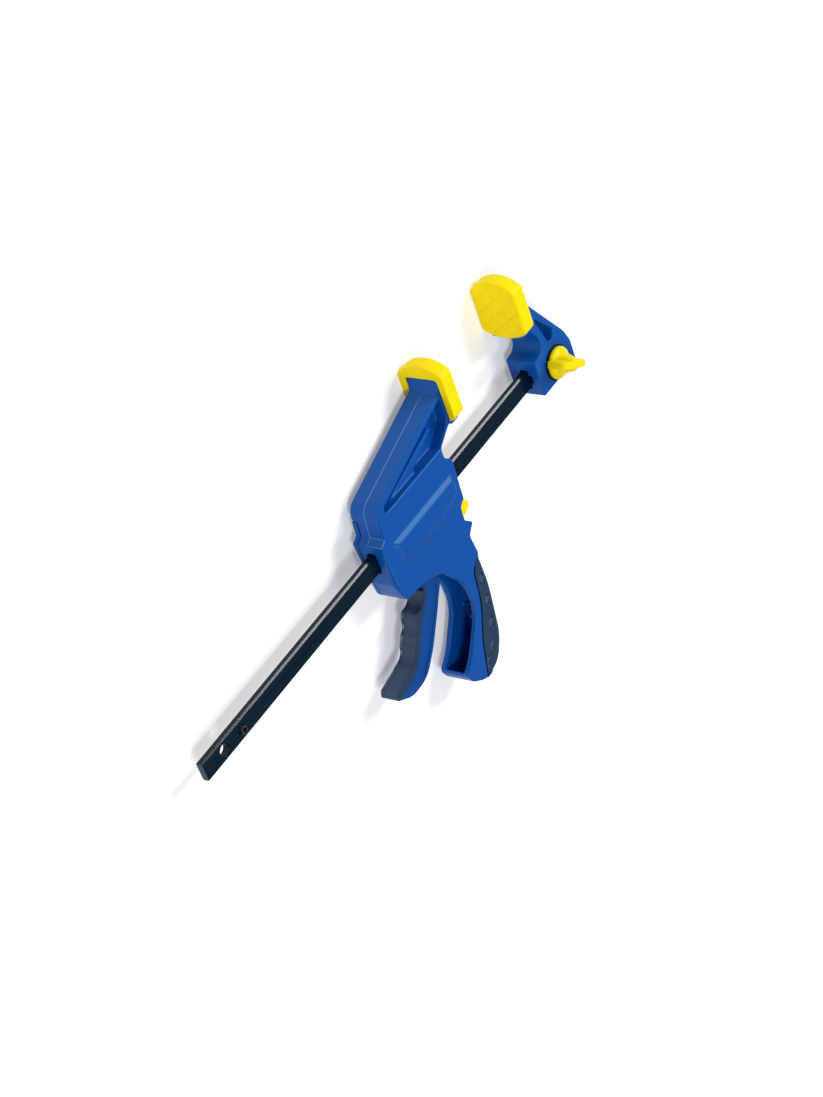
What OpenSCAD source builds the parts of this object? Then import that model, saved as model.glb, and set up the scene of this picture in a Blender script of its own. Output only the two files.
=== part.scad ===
// One-handed bar clamp, lying on its cover side.
// X runs along the bar towards the fixed jaw, Y is the way the jaws reach,
// Z is the thickness, with the ribbed side of the body up.
// The origin is the centre of the jaw hole at the bar's free end.

/* [Bar] */
// Length of the steel bar
bar_l = 386; // [340:1:600]
// Height of the bar's section
bar_h = 13; // [12:0.1:13.4]
// Thickness of the bar's section
bar_t = 4.8; // [4.2:0.1:5.2]
// Chamfer of the bar's long edges
bar_edge = 1; // [0.3:0.1:1.4]
// Distance from each end of the bar to its jaw hole
end_to_hole = 18; // [12:0.5:18.5]
// Diameter of the jaw holes
jaw_hole_d = 7; // [6.6:0.1:8]
// Countersink of the jaw holes
jaw_hole_chamfer = 0.5; // [0.2:0.1:1]
// Distance from the free end's jaw hole to the stop pin
stop_pin_pitch = 16.6; // [12:0.1:24]
// Diameter of the stop pin
stop_pin_d = 5; // [4:0.1:5.4]
// Height that the stop pin stands proud of each face
stop_pin_proud = 2; // [1:0.1:2.4]

/* [Body] */
// Distance from the free end's jaw hole to the front of the body
body_x = 155; // [60:1:170]
// Length of the body along the bar
body_l = 80; // [72:1:92]
// Thickness of the body over its cover
body_w = 21; // [20.6:0.1:24]
// Wall of the body on its ribbed side
wall_t = 2.5; // [2:0.1:2.8]
// Wall that the bar passes through at each end
end_wall_t = 4; // [3:0.1:4.5]
// Thickness of the side cover
cover_t = 3.2; // [2.8:0.1:3.6]
// Depth of the pocket inside the cover
cover_pocket = 1.5; // [1.3:0.1:1.8]
// Open joint between the body and its cover
cover_gap = 0.3; // [0.1:0.05:0.5]
// Height of the bar ridge on the side of the body
ridge_h = 2.5; // [2:0.1:4]
// Diameter of the cover screws' threads
screw_d = 3; // [2.5:0.1:3.5]
// Diameter of the cover screws' heads
screw_head_d = 5.4; // [5:0.1:6]
// Length of the cover screws under the head
screw_l = 9; // [7:0.5:11]

/* [Jaws] */
// Distance from the bar's centre line to the top of the pads
reach = 75.5; // [73:0.5:90]
// Width of the pads
pad_w = 32; // [31:0.5:38]
// Height of the pads
pad_h = 40.5; // [38:0.5:41]
// Depth of the pads
pad_depth = 11; // [10.5:0.5:13]
// Rise of the arch over the pads' tops
pad_crown = 6.7; // [5:0.1:8]
// Rise of the arch under the pads
pad_belly = 4.5; // [4:0.1:6]
// Thickness of the pads' faces
pad_face_t = 3; // [2.5:0.1:3.3]
// Depth of the grip grooves in the pads' faces
groove_depth = 0.6; // [0.3:0.1:1]
// Depth of the grooves that cross them
cross_depth = 0.3; // [0.2:0.1:1]
// Width of the grip grooves
groove_w = 0.7; // [0.5:0.1:0.9]
// Distance between the grip grooves
groove_pitch = 7.8; // [6:0.1:10]
// Thickness of the plates that carry the pads
pad_plate_t = 6.4; // [6:0.1:6.8]
// Width of the plates that carry the pads
pad_plate_w = 24.8; // [24:0.1:26]
// Length of the fixed jaw's block along the bar
block_l = 39; // [39:0.5:46]
// Height of the fixed jaw's block above the bar's centre line
block_top = 14; // [12.5:0.5:16]
// Depth of the fixed jaw's block below the bar's centre line
block_drop = 11.5; // [10:0.5:14]

/* [Handle and trigger] */
// Distance from the bar's centre line to the end of the handle
handle_drop = 128; // [126:0.5:136]
// Width of the channel in the handle
channel_w = 13.6; // [13.2:0.1:14.4]
// Thickness of the rubber grip over the handle's core
grip_t = 2.2; // [1.8:0.1:2.4]
// Width of the trigger
trigger_w = 12; // [11:0.1:12.4]
// Width of the trigger's core inside its grip
trigger_core_w = 7; // [5:0.1:8]
// Depth of the finger hollows in the trigger's grip
finger_depth = 1.6; // [0.8:0.1:2.2]
// Diameter of the trigger's pivot pin
trigger_pin_d = 5; // [4:0.1:6]
// Travel of the trigger in degrees
trigger_travel = 28; // [15:1:29]

/* [Mechanism] */
// Thickness of each drive plate
drive_plate_t = 2.5; // [2:0.1:2.6]
// Wire diameter of the springs
spring_wire = 1.2; // [0.9:0.1:1.2]
// Turns of the drive spring
drive_turns = 7; // [5:1:8]
// Turns of the brake spring
brake_turns = 4; // [3:1:6]
// Thickness of the brake plate
brake_plate_t = 3; // [2.4:0.1:3.2]
// Lean of the brake plate at rest in degrees
brake_lean = 7; // [4:0.5:8]
// Width of the release button
button_w = 13; // [10:0.5:13]

/* [Jaw knob] */
// Diameter of the knob's foot
knob_d = 20.6; // [18:0.2:22]
// Height of the knob
knob_h = 14.8; // [14:0.2:20]
// Width across the knob's wings
wing_span = 26; // [24:0.5:30]
// Thickness of the knob's wings
wing_t = 4.4; // [4:0.2:6.6]
// Diameter of the jaw screw
jaw_screw_d = 6; // [5:0.1:6.2]
// Thickness of the washer under the knob
washer_t = 0.8; // [0.6:0.1:1.6]
// Width across the flats of the jaw nut
nut_flats = 10; // [9:0.1:11]
// Thickness of the jaw nut
nut_t = 4.6; // [3.5:0.1:4.8]

/* [Hidden] */

blue = "royalblue";
yellow = "gold";
black = "darkslategray";
steel = "silver";

eps = 0.01;            // overlap that keeps cuts clean
run_gap = 0.05;        // radial clearance of pins and screws
slide_gap = 0.25;      // clearance of flat sliding faces
slot_gap = 0.5;        // clearance of the bar in the plastic walls
seat_gap = 0.1;        // clearance of the pads on their plates
free_gap = 0.3;        // clearance of loose neighbours

jaw_x = bar_l - 2 * end_to_hole;       // jaw hole in use, from the free end's jaw hole
half_w = body_w / 2;
cover_z = -half_w + cover_t;           // inner face of the cover
seam_z = cover_z + cover_gap;          // edge of the body over the cover
inner_z = half_w - wall_t;             // inside of the ribbed wall

// rolled stop pin
pin_wall_t = 1;
pin_slit = 0.6;

// pads and the plates that carry them
plate_top = reach - 7.5;
plate_bottom = reach - pad_h - 1;
arm_end = body_l + 8.5;                // rear face of the moving jaw's plate
plate_cut = 3;                         // corner cut of those plates
lip_w = 1.4;                           // width of the pad's lip behind its plate
lip_corner = 1.5;                      // corner cut of the lip's opening
lip_top = plate_top - lip_w;
pad_corner = 4;                        // radius where the pad's sides meet its arches
arch_steps = 12;
pad_rim = 1.5;                         // bevel round the pad's face
pad_back = pad_depth - pad_face_t - pad_plate_t - seat_gap;
groove_slant = 36;
groove_shift = 1;                      // keeps the grooves off the middle of the face

// side outline of the body: [x, y, corner radius], from the body's front
front_top = 13.2;                      // top of the body's front face
shelf = [[0, front_top, 0.5], [4.5, front_top + 2.4, 0.8]];
arm_roof = [[6.2, 34.5, 9], [arm_end - 2, plate_top - 9.4, 5],
            [arm_end, lip_top - lip_corner - 0.2, 0.1]];
arm_back = [[arm_end, plate_bottom + 2.5, 0.1], [body_l - 6, 27.5, 3], [body_l - 6, 20.2, 2.5],
            [body_l - 1, 16, 1.5]];
back_wall = [[body_l - 2.4, -12.8, 1], [body_l - 7.6, -15.6, 2.5], [body_l - 8, -25.2, 1.5],
             [body_l - 2, -30.9, 0.9], [body_l - 8.6, -36.6, 4], [body_l - 6.2, -51, 1],
             [body_l - 6.9, -52.6, 0.6]];
handle_back = [[body_l - 6.2, -76, 100], [body_l - 11.6, 16.5 - handle_drop, 32],
               [body_l - 21.2, 1.7 - handle_drop, 15], [body_l - 36, -handle_drop - 0.3, 16]];
handle_end = [[body_l - 48.5, 8.5 - handle_drop, 10], [body_l - 52, 16.2 - handle_drop, 3.5]];
handle_front = [[body_l - 42, -104.5, 38], [body_l - 24.7, -82, 25], [body_l - 26, -60, 34],
                [body_l - 40.6, -38, 22]];
chin = [[21, -31.2, 12], [4.3, -29.4, 1.4], [2.6, -25, 3], [0, -15.4, 0.8]];
body_outline = concat(shelf, arm_roof, arm_back, back_wall, handle_back, handle_end,
                      handle_front, chin);

// hollow of the arm on both sides, and its gusset
arm_web_w = 5;
recess = [[13.5, 28.2, 1.5], [body_l - 7.5, 28.2, 2], [arm_end - 3.6, plate_bottom + 4, 2],
          [arm_end - 2, plate_bottom + 7, 1], [arm_end - 2, plate_top - 13.4, 1.5], [12.6, 32, 1.2]];
gusset = [[20, 28, 0], [body_l - 32, 28, 0], [body_l - 6, 40, 1], [body_l - 5, 42.5, 1],
          [body_l - 31, 35.5, 3]];
gusset_w = 12;

// part of the outline that the side cover closes
cover_top = 25;
cover_bottom = -34;

// inside of the body
cavity_top = 12.3;
rib_x = 48;                            // rib between the drive and the brake
rib_t = 2.5;
rib_bottom = -13.5;
wall_x = body_l - end_wall_t - 1;      // inside of the rear wall
cavity = [[end_wall_t, cavity_top, 0], [wall_x, cavity_top, 0], [wall_x, -10, 0],
          [body_l - 10, -14, 0], [body_l - 10.5, -29.4, 0], [body_l - 11.5, -37, 2],
          [body_l - 13, -54, 6], [body_l - 13, -80, 20], [body_l - 18.5, -109, 12],
          [body_l - 27, -121.5, 5], [body_l - 36, -125, 6], [body_l - 46.8, -117, 3],
          [body_l - 51, -108, 0],
          [20, -60, 0], [19, -26.5, 0],
          [9.5, -25, 2], [7, -14, 0], [end_wall_t, -9.4, 0]];
channel_rib_t = 1.8;
channel_rib_in = 12;                   // how far the ribs lie inside the handle's front
channel_stub_in = 3;                   // the same for their ends on the ribbed wall
channel_stub = 3;
stop_low = 8.6;                        // underside of the block that the brake plate leans on
button_window = [[body_l - 14, -29.4], [body_l + 6, -29.4], [body_l + 6, -15.6], [body_l - 8.4, -15.6],
                 [body_l - 8.4, -12.4], [body_l - 14, -12.4]];

// rubber of the handle: the part of the outline behind this line
grip_line = [[body_l - 4, -50.5, 0], [body_l - 6.9, -52.6, 2], [body_l - 16, -58, 7],
             [body_l - 18.6, -80, 50], [body_l - 29, -103, 60], [body_l - 36, -handle_drop - 2, 0],
             [body_l + 10, -handle_drop - 2, 0], [body_l + 10, -50.5, 0]];

// ridge along the bar
ridge_from = 7;
ridge_to = body_l - 7;
ridge_low = 10;                        // half height at its foot
ridge_bevel = 4;
ridge_slant = 5.5;                     // how far its lower front corner lies back

// where the cover is screwed on: [x, y]
arm_screws = [[10.5, 20], [body_l - 11.5, 20]];
boss_screws = [[8.4, -20.4], [body_l - 15.5, -31]];
screw_spots = concat(arm_screws, boss_screws);
boss_r = screw_d / 2 + 1.4;
head_t = 1.4;
head_sink = 0.1;                       // how far the heads lie under the cover's face

// trigger
pivot = [36, -19];                     // from the body's front and the bar's centre line
nose_r = 4.2;
nose_y = 0;
boss_trigger_r = 6;
pin_boss_r = trigger_pin_d / 2 + 2.4;
pin_sink = 2;                          // depth of the pin's bore in the cover
pin_wall_sink = 1;                     // depth of its bore in the ribbed wall
pin_play = 0.1;                        // room at each end of the pin
fork_depth = 3.4;                      // depth of the trigger's fork under the bar
ear_gap = 0.3;                         // between the trigger's fork and the bar
trigger_outline = [[29.8, -21, 1], [24.5, -38, 10], [10.5, -49, 20], [2.5, -62.5, 26], [-7, -73, 16],
                   [-27, -76.2, 1.6], [-28.6, -81, 1.8], [-15, -89.3, 18], [1.4, -88.5, 18],
                   [14.5, -76.5, 50], [28.5, -59.5, 100], [40.2, -44, 16], [42, -20, 2]];
trigger_grip_line = [[27, -39, 0], [25.5, -42.5, 5], [14.5, -54, 30], [5.5, -66, 40],
                     [-3, -77, 18], [-16, -81.5, 24], [-30, -83, 0], [-34, -70, 0], [10, -36, 0]];
finger_spots = [[14.2, -40.5], [1.4, -52.8], [-7.8, -65.2]];
finger_r = 7.5;
core_shift = [2.6, -2.4];              // how far the core lies under the grip
hollow = [[27, -42, 3], [37, -44.5, 2], [26.3, -58.5, 10], [12.3, -75.3, 10], [0, -85.8, 6],
          [-12, -86.6, 1], [-11, -84.2, 1], [-0.5, -79.5, 8], [8, -66.5, 8], [16.8, -54.5, 8]];
hollow_depth = 1.2;

// drive plates: they rest on the trigger's nose
drive_rear = pivot.x - nose_r - 0.2;
drive_gap = 0.1;
drive_front = drive_rear - 2 * drive_plate_t - drive_gap;
drive_top = 11.4;
drive_bottom = -12;
drive_w = 13.2;
drive_stroke = (nose_y - pivot.y) * trigger_travel * PI / 180;

// springs round the bar
coil_r = norm([bar_h / 2 - 0.3, bar_t / 2]) + free_gap + spring_wire / 2;
coil_steps = 18;                       // rings of wire facets in one turn
wire_sides = 6;
drive_spring_l = drive_front - end_wall_t - 2 * free_gap;

// brake plate: it leans on the stop behind its top rear corner
hinge = [body_l - 12.5, 11.5];
brake_l = 35.8;
brake_w = 13.2;
brake_tail_w = 8;
brake_tail_top = -hinge.y - 14;        // where the plate narrows, from its hinge
brake_slot_h = bar_h + 0.9;
brake_face = hinge.x - brake_plate_t - 0.2;
brake_spring_l = brake_face - rib_x - rib_t - 2 * free_gap;
button_outline = [[body_l - 12.5, -16.8, 1], [body_l + 1, -16.8, 4], [body_l + 4.2, -20.3, 3],
                  [body_l + 4.2, -23.6, 3], [body_l + 0.5, -26.2, 3], [body_l - 12.5, -26.4, 1]];

// fixed jaw: side outline from its screw's axis
block_front = -(block_l - 19.5);
block_back = 19.5;
jaw_plate_x = block_front - 3.5;       // front face of the plate
jaw_web_w = 7;
jaw_outline = [[block_front, block_top - 0.4, 1.2], [block_front + 9, block_top + 1, 7],
               [-8, block_top + 9, 8], [jaw_plate_x + pad_plate_t, plate_bottom + 3, 0.1],
               [jaw_plate_x + pad_plate_t, reach - 14, 0.1], [-6.3, 45.4, 6],
               [block_back - 4, 13.5, 8], [block_back, 3, 8], [block_back, -block_drop, 0.8],
               [block_front, -block_drop, 0.8]];
jaw_pocket = [[-8.8, 40, 0.8], [6.4, 20.4, 2.5], [3.2, 15.4, 2.2], [-0.8, 15.6, 1.8]];
split_from = -4;                       // where the block is split under the bar
split_w = 4;
nut_sink = 0.4;                        // how far the nut lies under the jaw's face
screw_sink = 0.6;                      // how far the screw's end lies under it

// knob
knob_base = half_w + washer_t;
washer_rim = 0.9;                      // how far the washer shows round the knob's foot
foot_h = 3.2;
hub_h = knob_h - 0.8;
hub_r = 4.2;                           // radius of the knob's hub near its top
hub_mid = [5.7, 8.2];                  // radius and height where the hub narrows
knob_edge = 1;                         // bevel round the knob's foot
knob_sink = 9;                         // depth of the screw's head end in the knob
knob_turn = -30;                       // how the wings stand at rest
wing_low = 0.8;                        // underside of the wings over the washer

// corner points of a polygon whose corners carry a radius
function unit(v) = v / norm(v);
function turn_in(a) = a > 180 ? a - 360 : a < -180 ? a + 360 : a;
function corner(a, b, c, steps) =
    let (p = [b.x, b.y], r = b[2], u = unit([a.x, a.y] - p), v = unit([c.x, c.y] - p),
         half = acos(max(-1, min(1, u * v))) / 2)
    r == 0 || half > 89.5 ? [p] :
    let (mid = p + unit(u + v) * r / sin(half), s = p + u * r / tan(half), e = p + v * r / tan(half),
         from = atan2(s.y - mid.y, s.x - mid.x), to = atan2(e.y - mid.y, e.x - mid.x),
         sweep = turn_in(to - from))
    [for (i = [0:steps]) mid + r * [cos(from + sweep * i / steps), sin(from + sweep * i / steps)]];
function rounded(pts, steps = 8) =
    let (n = len(pts))
    [for (i = [0:n - 1]) each corner(pts[(i + n - 1) % n], pts[i], pts[(i + 1) % n], steps)];

// a flat shape as a slab between two heights, and along the bar
module slab(low, high) translate([0, 0, low]) linear_extrude(high - low) children();
module along_x(from, to) translate([from, 0, 0]) rotate([90, 0, 90]) linear_extrude(to - from) children();
module rounded_shape(pts, steps = 8) polygon(rounded(pts, steps));

module round_rect(w, h, r) {
    square([w - 2 * r, h], center = true);
    square([w, h - 2 * r], center = true);
    for (x = [-1, 1], y = [-1, 1]) translate([x * (w / 2 - r), y * (h / 2 - r)]) circle(r, $fn = 24);
}

module on_body() translate([body_x, 0, 0]) children();
module on_jaw() translate([jaw_x, 0, 0]) children();

// the bar's section with a clearance all round
module bar_slot(gap) square([bar_h + 2 * gap, bar_t + 2 * gap], center = true);

// ---- bar ----
module bar_section() {
    h = bar_h / 2;
    t = bar_t / 2;
    e = bar_edge;
    polygon([[e - h, -t], [h - e, -t], [h, e - t], [h, t - e],
             [h - e, t], [e - h, t], [-h, t - e], [-h, e - t]]);
}

module bar() {
    color(black)
    difference() {
        along_x(-end_to_hole, bar_l - end_to_hole) bar_section();
        for (x = [0, jaw_x]) translate([x, 0, 0]) countersunk_hole();
        translate([stop_pin_pitch, 0, 0])
            cylinder(h = bar_t + 2 * eps, d = stop_pin_d, center = true, $fn = 48);
    }
}

module countersunk_hole() {
    cylinder(h = bar_t + 2 * eps, d = jaw_hole_d, center = true, $fn = 48);
    for (side = [0, 1]) mirror([0, 0, side])
        translate([0, 0, bar_t / 2 - jaw_hole_chamfer])
        cylinder(h = jaw_hole_chamfer + eps, r1 = jaw_hole_d / 2,
                 r2 = jaw_hole_d / 2 + jaw_hole_chamfer + eps, $fn = 48);
}

// a rolled spring pin, open along one side
module stop_pin() {
    color(steel)
    translate([stop_pin_pitch, 0, 0])
    difference() {
        cylinder(h = bar_t + 2 * stop_pin_proud, d = stop_pin_d - 2 * run_gap, center = true, $fn = 48);
        cylinder(h = bar_t + 3 * stop_pin_proud, d = stop_pin_d - 2 * pin_wall_t, center = true, $fn = 48);
        translate([0, -pin_slit / 2, -bar_t]) cube([stop_pin_d, pin_slit, 2 * bar_t]);
    }
}

// ---- body ----
module cover_area(gap) {
    intersection() {
        rounded_shape(body_outline);
        translate([-1, cover_bottom + gap]) square([body_l + 2, cover_top - cover_bottom - 2 * gap]);
    }
}

// bevelled all round, with a slanted front end
module ridge() {
    top = ridge_low - ridge_bevel;
    slant = atan(ridge_slant / (2 * ridge_low));
    intersection() {
        along_x(ridge_from, ridge_to)
            polygon([[-ridge_low, half_w - eps], [ridge_low, half_w - eps],
                     [top, half_w + ridge_h], [-top, half_w + ridge_h]]);
        translate([ridge_from, ridge_low, 0]) rotate(slant) rotate([90, 0, 0])
            translate([0, 0, -ridge_low]) linear_extrude(4 * ridge_low)
            polygon([[0, half_w - eps], [body_l, half_w - eps], [body_l, half_w + ridge_h],
                     [ridge_bevel, half_w + ridge_h]]);
        translate([0, ridge_low + 1, 0]) rotate([90, 0, 0]) linear_extrude(2 * ridge_low + 2)
            polygon([[0, half_w - eps], [ridge_to, half_w - eps], [ridge_to - 1.5, half_w + ridge_h],
                     [0, half_w + ridge_h]]);
    }
}

// the front edge below the shelf is cut away, more and more towards the chin
module front_bevel() {
    translate([0, front_top, half_w]) rotate([5, 0, 0]) rotate([0, 45, 0])
        translate([-20, -body_l / 2, -30]) cube([20, body_l, 60]);
}

module body_shell() {
    color(blue)
    on_body() {
        difference() {
            union() {
                slab(-half_w, half_w) difference() {
                    rounded_shape(body_outline);
                    rounded_shape(grip_line);
                }
                slab(grip_t - half_w, half_w - grip_t) handle_core();
                translate([arm_end, 0, 0]) jaw_plate();
                ridge();
            }
            slab(-half_w - eps, seam_z) cover_area(0);
            front_bevel();
            body_cavity();
            for (side = [-1, 1]) arm_recess(side);
            along_x(-eps, body_l + eps) bar_slot(slot_gap);
            for (p = screw_spots) translate([p.x, p.y, seam_z - eps])
                cylinder(h = screw_l, d = screw_d + 2 * run_gap, $fn = 32);
            translate([pivot.x, pivot.y, inner_z - eps])
                cylinder(h = pin_wall_sink, d = trigger_pin_d + 2 * run_gap, $fn = 48);
        }
        drive_rib();
        channel_ribs();
        wall_boss();
        hinge_stop();
        cover_bosses();
    }
}

// the handle inside its rubber grip
module handle_core() {
    intersection() {
        rounded_shape(body_outline);
        rounded_shape(grip_line);
        translate([-grip_t, 1]) rounded_shape(body_outline);
    }
}

// everything that is hollow: drive, brake, handle channel, button window and spring room
module body_cavity() {
    slab(seam_z - eps, inner_z) intersection() {
        rounded_shape(cavity);
        translate([0, cover_bottom]) square([body_l, 2 * -cover_bottom]);
    }
    slab(-channel_w / 2, channel_w / 2) {
        rounded_shape(cavity);
        polygon(button_window);
        trigger_mouth();
    }
    along_x(end_wall_t, wall_x) spring_room();
}

// opening between the body and the handle that the trigger swings in
module trigger_mouth()
    polygon([[19, -26.5], [19, -60], [body_l - 54, -108], [body_l - 45.5, -115],
             [body_l - 34, -102], [body_l - 23, -82], [body_l - 23, -40]]);

module spring_room() {
    room = coil_r + spring_wire / 2 + free_gap;
    translate([-room, 0]) square([2 * room, room]);
    translate([-room, -room]) square([2 * room, room]);
}

module arm_recess(side) {
    depth = (body_w - arm_web_w) / 2;
    gusset_depth = (body_w - gusset_w) / 2;
    mirror([0, 0, side > 0 ? 0 : 1]) {
        slab(half_w - depth, half_w + eps) difference() {
            rounded_shape(recess);
            rounded_shape(gusset);
        }
        slab(half_w - gusset_depth, half_w + eps) rounded_shape(recess);
    }
}

// the plate that a pad slips over
module jaw_plate() {
    half = pad_plate_w / 2;
    along_x(0, pad_plate_t)
        polygon([[plate_bottom, -half + 2], [plate_bottom + 2, -half], [plate_top - plate_cut, -half],
                 [plate_top, -half + plate_cut], [plate_top, half - plate_cut],
                 [plate_top - plate_cut, half],
                 [plate_bottom + 2, half], [plate_bottom, half - 2]]);
}

module drive_rib() {
    difference() {
        translate([rib_x, rib_bottom, seam_z - eps])
            cube([rib_t, cavity_top - rib_bottom + eps, inner_z - seam_z + 2 * eps]);
        along_x(rib_x - eps, rib_x + rib_t + eps) bar_slot(slot_gap);
    }
}

// low ribs across the floor of the channel, higher at the ribbed wall
module channel_ribs() {
    for (y = [-66, -88]) {
        slab(-channel_w / 2 - eps, channel_w / 2 + eps) channel_rib(y, channel_rib_in);
        slab(channel_w / 2 - channel_stub, channel_w / 2 + eps) channel_rib(y, channel_stub_in);
    }
}

module channel_rib(y, back) {
    intersection() {
        rounded_shape(cavity);
        translate([0, y]) square([body_l, channel_rib_t]);
        translate([back, 0]) rounded_shape(body_outline);
    }
}

// boss for the trigger's pin on the ribbed wall
module wall_boss() {
    translate([pivot.x, pivot.y, trigger_w / 2 + free_gap])
    difference() {
        cylinder(h = inner_z - trigger_w / 2 - free_gap + eps, r = pin_boss_r, $fn = 48);
        translate([0, 0, -eps]) cylinder(h = half_w, d = trigger_pin_d + 2 * run_gap, $fn = 48);
    }
}

// block that the top of the brake plate leans on
module hinge_stop() {
    slope = tan(brake_lean);
    slab(seam_z - eps, inner_z + eps)
        polygon([[hinge.x + seat_gap + (hinge.y - cavity_top) * slope, cavity_top + eps],
                 [hinge.x + seat_gap + (hinge.y - stop_low) * slope, stop_low],
                 [wall_x + eps, stop_low], [wall_x + eps, cavity_top + eps]]);
}

module cover_bosses() {
    for (p = boss_screws)
        translate([p.x, p.y, seam_z])
        difference() {
            cylinder(h = inner_z - seam_z + eps, r = boss_r, $fn = 32);
            translate([0, 0, -eps]) cylinder(h = screw_l, d = screw_d + 2 * run_gap, $fn = 32);
        }
}

// ---- cover ----
module side_cover() {
    color(blue)
    on_body()
    difference() {
        union() {
            slab(-half_w, cover_z) cover_area(cover_gap / 2);
            translate([pivot.x, pivot.y, cover_z - eps])
                cylinder(h = -trigger_w / 2 - free_gap - cover_z + eps, r = pin_boss_r, $fn = 48);
        }
        mirror([0, 0, 1]) front_bevel();
        slab(cover_z - cover_pocket, cover_z + eps) cover_pocket_area();
        translate([pivot.x, pivot.y, cover_z - pin_sink])
            cylinder(h = half_w, d = trigger_pin_d + 2 * run_gap, $fn = 48);
        for (p = screw_spots) translate([p.x, p.y, -half_w - eps]) {
            cylinder(h = body_w, d = screw_d + 2 * run_gap, $fn = 32);
            cylinder(h = head_t + 2 * head_sink, d = screw_head_d + 4 * run_gap, $fn = 32);
        }
    }
}

// room for the springs and plates in the cover, clear of its bosses
module cover_pocket_area() {
    difference() {
        translate([end_wall_t, -coil_r - spring_wire])
            square([wall_x - end_wall_t, 2 * (coil_r + spring_wire)]);
        for (p = boss_screws) translate(p) circle(boss_r, $fn = 32);
    }
}

module cover_screws() {
    color(steel)
    on_body()
    for (p = screw_spots) translate([p.x, p.y, -half_w + head_sink]) {
        difference() {
            cylinder(h = head_t, d = screw_head_d, $fn = 32);
            for (a = [0, 90]) rotate(a) translate([-1.6, -0.35, -eps]) cube([3.2, 0.7, 0.9]);
        }
        translate([0, 0, head_t - eps]) cylinder(h = screw_l, d = screw_d, $fn = 32);
    }
}

// ---- handle grip ----
module handle_grip() {
    color(black)
    on_body()
    difference() {
        slab(-half_w, half_w) intersection() {
            rounded_shape(body_outline);
            rounded_shape(grip_line);
        }
        slab(grip_t - half_w, half_w - grip_t) handle_core();
    }
}

// ---- pads ----
// an arch across a pad, on its top (side 1) or under it (side -1), moved in from its outline
function arch(rise, side, inset) =
    let (half = pad_w / 2, r = (half * half + rise * rise) / (2 * rise),
         reach_angle = asin((half - inset) / (r - inset)))
    [for (i = [0:arch_steps])
        let (a = reach_angle * (2 * i / arch_steps - 1))
        [side * (pad_h / 2 - r + (r - inset) * cos(a)), side * (r - inset) * sin(a),
         i == 0 || i == arch_steps ? pad_corner - inset : 0]];

module pad_face(inset) rounded_shape(concat(arch(pad_crown, 1, inset), arch(pad_belly, -1, inset)));

// the whole pad, bevelled round its face
module pad_block() {
    hull() {
        along_x(0, pad_depth - pad_rim) pad_face(0);
        along_x(0, pad_depth) pad_face(pad_rim);
    }
}

// a slip-on pad, with its back at x = 0 and its face towards +X
module jaw_pad() {
    half = pad_plate_w / 2 + seat_gap;
    mid = reach - pad_h / 2;
    top = plate_top + seat_gap;
    low_corner = lip_w + lip_corner;
    difference() {
        translate([0, mid, 0]) pad_block();
        along_x(pad_back, pad_depth - pad_face_t)
            polygon([[0, -half], [top - plate_cut, -half], [top, -half + plate_cut],
                     [top, half - plate_cut], [top - plate_cut, half], [0, half]]);
        along_x(-eps, pad_back + eps)
            polygon([[0, -half + lip_w], [lip_top - lip_corner, -half + lip_w],
                     [lip_top, -half + low_corner], [lip_top, half - low_corner],
                     [lip_top - lip_corner, half - lip_w], [0, half - lip_w]]);
        grip_grooves(mid);
    }
}

// two slanting families of grooves that cross
module grip_grooves(mid) {
    for (side = [-1, 1])
        translate([pad_depth - (side > 0 ? groove_depth : cross_depth), mid, 0])
        rotate([side * groove_slant, 0, 0])
        for (i = [-2:2])
            translate([0, i * groove_pitch - side * groove_shift - groove_w / 2, -pad_h])
            cube([2 * groove_depth, groove_w, 2 * pad_h]);
}

module moving_jaw_pad() {
    color(yellow)
    translate([body_x + arm_end - pad_back, 0, 0]) jaw_pad();
}

module fixed_jaw_pad() {
    color(yellow)
    translate([jaw_x + jaw_plate_x + pad_plate_t + pad_back, 0, 0]) rotate([0, 180, 0]) jaw_pad();
}

// ---- fixed jaw ----
module fixed_jaw() {
    color(blue)
    on_jaw()
    difference() {
        union() {
            slab(-half_w, half_w) rounded_shape(jaw_outline);
            translate([jaw_plate_x, 0, 0]) jaw_plate();
        }
        for (side = [0, 1]) mirror([0, 0, side])
            slab(jaw_web_w / 2, half_w + eps) rounded_shape(jaw_pocket);
        along_x(block_front - eps, block_back + eps) bar_slot(slide_gap);
        along_x(block_front - eps, block_back + eps)
            square([stop_pin_d + 2 * free_gap, bar_t + 2 * stop_pin_proud + 2 * free_gap], center = true);
        translate([split_from, -block_drop - eps, -split_w / 2])
            cube([block_back - split_from + eps, block_drop, split_w]);
        cylinder(h = 2 * body_w, d = jaw_screw_d + 4 * run_gap, center = true, $fn = 48);
        translate([0, 0, -half_w - 1])
            cylinder(h = nut_t + nut_sink + 1, d = (nut_flats + 4 * run_gap) / cos(30), $fn = 6);
    }
}

module jaw_nut() {
    color(steel)
    on_jaw()
    translate([0, 0, -half_w + nut_sink])
    difference() {
        cylinder(h = nut_t, d = nut_flats / cos(30), $fn = 6);
        translate([0, 0, -eps]) cylinder(h = 2 * nut_t, d = jaw_screw_d + 2 * run_gap, $fn = 48);
    }
}

module jaw_washer() {
    color(steel)
    on_jaw()
    translate([0, 0, half_w])
    difference() {
        cylinder(h = washer_t, d = knob_d + 2 * washer_rim, $fn = 64);
        translate([0, 0, -eps]) cylinder(h = 2 * washer_t, d = jaw_screw_d + 2 * run_gap, $fn = 48);
    }
}

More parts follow.
